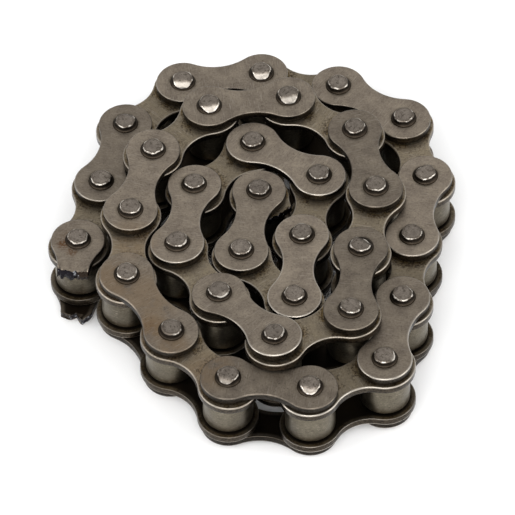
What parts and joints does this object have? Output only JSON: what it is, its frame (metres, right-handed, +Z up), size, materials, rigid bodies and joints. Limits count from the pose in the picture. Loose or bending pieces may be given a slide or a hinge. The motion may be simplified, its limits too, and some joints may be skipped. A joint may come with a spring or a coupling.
{
  "type": "heap of roller chain",
  "caption": "Cut length of steel roller chain, lying flat and wound inward in overlapping turns, with a loose outer end whose links still hinge.",
  "frame": {"origin": "centre of the heap's box, on the floor that it lies on", "axes": "+Z up along the pins, +Y along the heap's longer side, away from the viewer, +X to the viewer's right"},
  "size_m": [0.0644, 0.075, 0.0171],
  "materials": {
    "outer_link_steel": "satin grey-brown steel with a thin film of old oil",
    "inner_link_steel": "satin grey-brown steel, faintly yellow round the pins",
    "roller_steel": "smooth turned steel, slightly brighter than the plates"
  },
  "bodies": {
    "coil": {"inner_link_07": "inner_link_steel", "inner_link_09": "inner_link_steel", "inner_link_11": "inner_link_steel", "inner_link_13": "inner_link_steel", "inner_link_15": "inner_link_steel", "inner_link_17": "inner_link_steel", "inner_link_19": "inner_link_steel", "inner_link_21": "inner_link_steel", "inner_link_23": "inner_link_steel", "inner_link_25": "inner_link_steel", "inner_link_27": "inner_link_steel", "inner_link_29": "inner_link_steel", "inner_link_31": "inner_link_steel", "inner_link_33_cut": "inner_link_steel", "outer_link_08": "outer_link_steel", "outer_link_10": "outer_link_steel", "outer_link_12": "outer_link_steel", "outer_link_14": "outer_link_steel", "outer_link_16": "outer_link_steel", "outer_link_18": "outer_link_steel", "outer_link_20": "outer_link_steel", "outer_link_22": "outer_link_steel", "outer_link_24": "outer_link_steel", "outer_link_26": "outer_link_steel", "outer_link_28": "outer_link_steel", "outer_link_30": "outer_link_steel", "outer_link_32": "outer_link_steel", "roller_07": "roller_steel", "roller_08": "roller_steel", "roller_09": "roller_steel", "roller_10": "roller_steel", "roller_11": "roller_steel", "roller_12": "roller_steel", "roller_13": "roller_steel", "roller_14": "roller_steel", "roller_15": "roller_steel", "roller_16": "roller_steel", "roller_17": "roller_steel", "roller_18": "roller_steel", "roller_19": "roller_steel", "roller_20": "roller_steel", "roller_21": "roller_steel", "roller_22": "roller_steel", "roller_23": "roller_steel", "roller_24": "roller_steel", "roller_25": "roller_steel", "roller_26": "roller_steel"},
    "end_link": {"outer_link_00_cut": "outer_link_steel"},
    "link_1": {"inner_link_01": "inner_link_steel", "roller_01": "roller_steel", "roller_02": "roller_steel"},
    "link_2": {"outer_link_02": "outer_link_steel"},
    "link_3": {"inner_link_03": "inner_link_steel", "roller_03": "roller_steel", "roller_04": "roller_steel"},
    "link_4": {"outer_link_04": "outer_link_steel"},
    "link_5": {"inner_link_05": "inner_link_steel", "roller_05": "roller_steel", "roller_06": "roller_steel"},
    "link_6": {"outer_link_06": "outer_link_steel"}
  },
  "joints": [
    {"name": "pin_1_hinge", "type": "hinge", "parent": "link_1", "child": "end_link", "pos_m": [-0.0274, -0.00146, 0.00691], "axis": [0, 0, -1], "range_deg": [-20, 110]},
    {"name": "pin_2_hinge", "type": "hinge", "parent": "link_2", "child": "link_1", "pos_m": [-0.02369, 0.01068, 0.00691], "axis": [0, 0, -1], "range_deg": [0, 31]},
    {"name": "pin_3_hinge", "type": "hinge", "parent": "link_3", "child": "link_2", "pos_m": [-0.01976, 0.02276, 0.00691], "axis": [0, 0, -1], "range_deg": [0, 59]},
    {"name": "pin_4_hinge", "type": "hinge", "parent": "link_4", "child": "link_3", "pos_m": [-0.01047, 0.03142, 0.00691], "axis": [0, 0, -1], "range_deg": [0, 67]},
    {"name": "pin_5_hinge", "type": "hinge", "parent": "link_5", "child": "link_4", "pos_m": [0.00216, 0.03275, 0.00691], "axis": [0, 0, -1], "range_deg": [0, 51]},
    {"name": "pin_6_hinge", "type": "hinge", "parent": "link_6", "child": "link_5", "pos_m": [0.01442, 0.02946, 0.00691], "axis": [0, 0, -1], "range_deg": [0, 52]},
    {"name": "pin_7_hinge", "type": "hinge", "parent": "coil", "child": "link_6", "pos_m": [0.02457, 0.02182, 0.00691], "axis": [0, 0, -1], "range_deg": [0, 70]}
  ]
}
